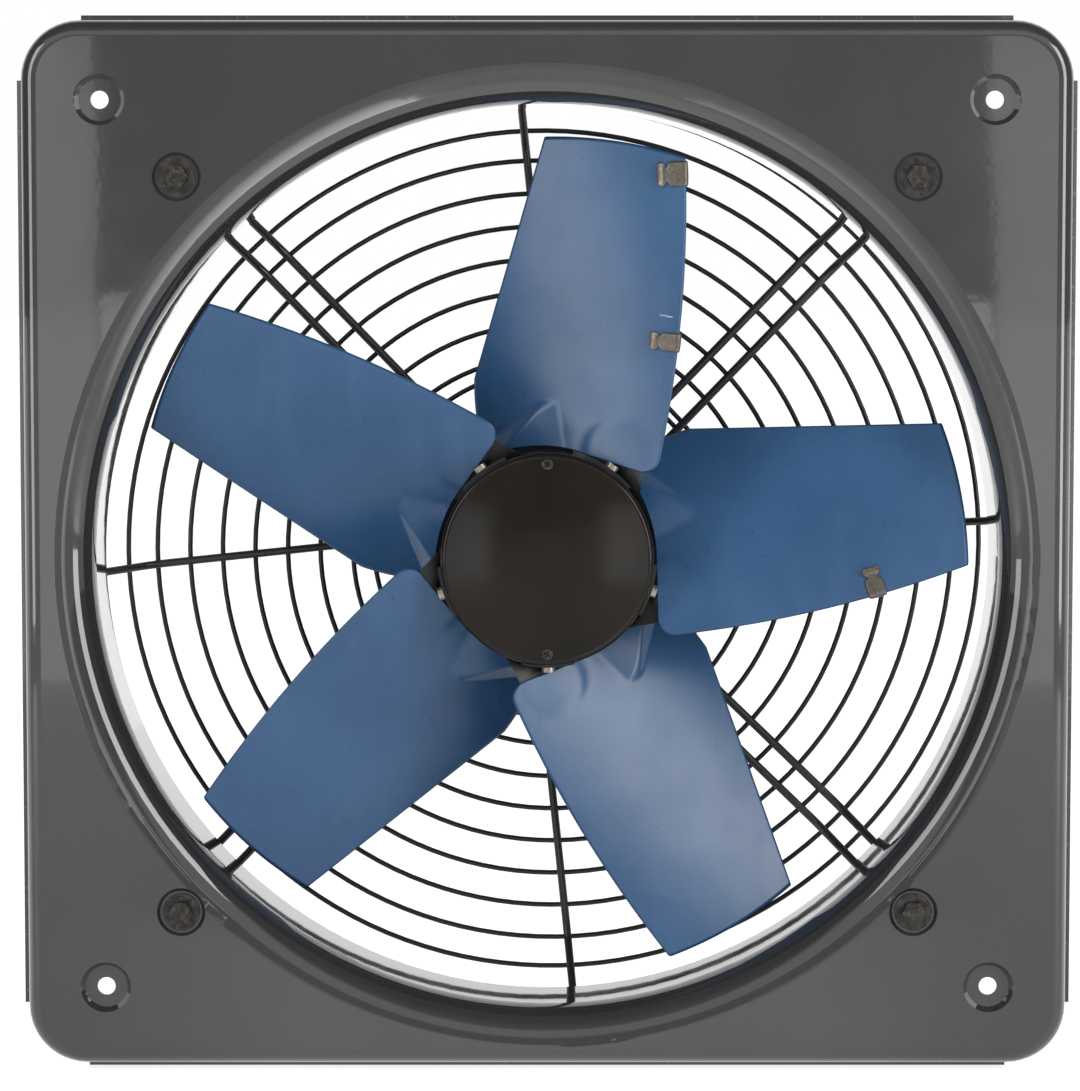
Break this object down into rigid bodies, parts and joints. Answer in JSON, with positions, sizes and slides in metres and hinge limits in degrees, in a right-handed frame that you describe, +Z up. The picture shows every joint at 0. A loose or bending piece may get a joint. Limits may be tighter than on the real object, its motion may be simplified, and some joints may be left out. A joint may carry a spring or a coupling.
{
  "type": "plate-mounted axial exhaust fan",
  "caption": "Square wall plate with a bell-mouth throat, twisted sheet blades on an external-rotor motor and a spiral wire guard behind.",
  "frame": {"origin": "centre of the square pattern of fixing holes, on the rear face of their dimples", "axes": "+Y along the fan axis from the inlet face towards the guard and the wall, +Z up"},
  "size_m": [0.5, 0.1633, 0.5],
  "materials": {
    "plate_paint": "grey gloss paint with a fine orange-peel",
    "guard_paint": "black gloss coated wire",
    "fastener_steel": "zinc plated",
    "bolt_paint": "dark plated",
    "blade_paint": "satin blue paint",
    "rotor_paint": "brown-black satin lacquer",
    "cast_aluminium": "die cast",
    "bearing_steel": "ground",
    "core_steel": "stacked laminations",
    "winding_copper": "lacquered copper",
    "box_plastic": "moulded black plastic",
    "seal_rubber": "foam rubber",
    "inner_plastic": "moulded plastic"
  },
  "bodies": {
    "frame": {"mounting_plate": "plate_paint", "guard_bolts": "bolt_paint", "bolt_washers": "bolt_paint", "foot_washers": "fastener_steel", "guard_nuts": "fastener_steel", "guard_spiral": "guard_paint", "guard_inner_ring": "guard_paint", "guard_spokes": "guard_paint", "support_rod_1": "guard_paint", "support_rod_2": "guard_paint", "support_rod_3": "guard_paint", "support_rod_4": "guard_paint", "motor_plate": "guard_paint", "motor_screws": "fastener_steel", "motor_flange": "cast_aluminium", "bearing_tube": "bearing_steel", "stator_core": "core_steel", "front_winding": "winding_copper", "rear_winding": "winding_copper", "front_bearing_outer": "bearing_steel", "rear_bearing_outer": "bearing_steel", "terminal_box": "box_plastic", "box_screws": "fastener_steel", "lid_gasket": "seal_rubber", "terminal_box_lid": "box_plastic", "lid_screws": "fastener_steel", "run_capacitor": "inner_plastic", "terminal_block": "inner_plastic", "cable_gland": "box_plastic", "gland_cap": "box_plastic", "gland_locknut": "box_plastic"},
    "rotor": {"rotor_can": "rotor_paint", "rotor_core": "core_steel", "rotor_shaft": "bearing_steel", "shaft_circlip": "bearing_steel", "hub_cap": "rotor_paint", "hub_cap_screws": "bolt_paint", "bracket_screws": "fastener_steel", "balance_clips": "fastener_steel", "front_bearing_inner": "bearing_steel", "rear_bearing_inner": "bearing_steel", "blade_1": "blade_paint", "blade_2": "blade_paint", "blade_3": "blade_paint", "blade_4": "blade_paint", "blade_5": "blade_paint", "blade_bracket_1": "rotor_paint", "blade_bracket_2": "rotor_paint", "blade_bracket_3": "rotor_paint", "blade_bracket_4": "rotor_paint", "blade_bracket_5": "rotor_paint"},
    "bearing_balls": {"front_bearing_balls": "bearing_steel", "rear_bearing_balls": "bearing_steel"}
  },
  "joints": [
    {"name": "rotor_spin", "type": "hinge", "parent": "frame", "child": "rotor", "pos_m": [0, 0, -0.006], "axis": [0, 1, 0], "continuous": true},
    {"name": "ball_spin", "type": "hinge", "parent": "frame", "child": "bearing_balls", "pos_m": [0, 0, -0.006], "axis": [0, 1, 0], "continuous": true}
  ],
  "couplings": [
    {"joint": "ball_spin", "follows": "rotor_spin", "ratio": 0.378}
  ]
}
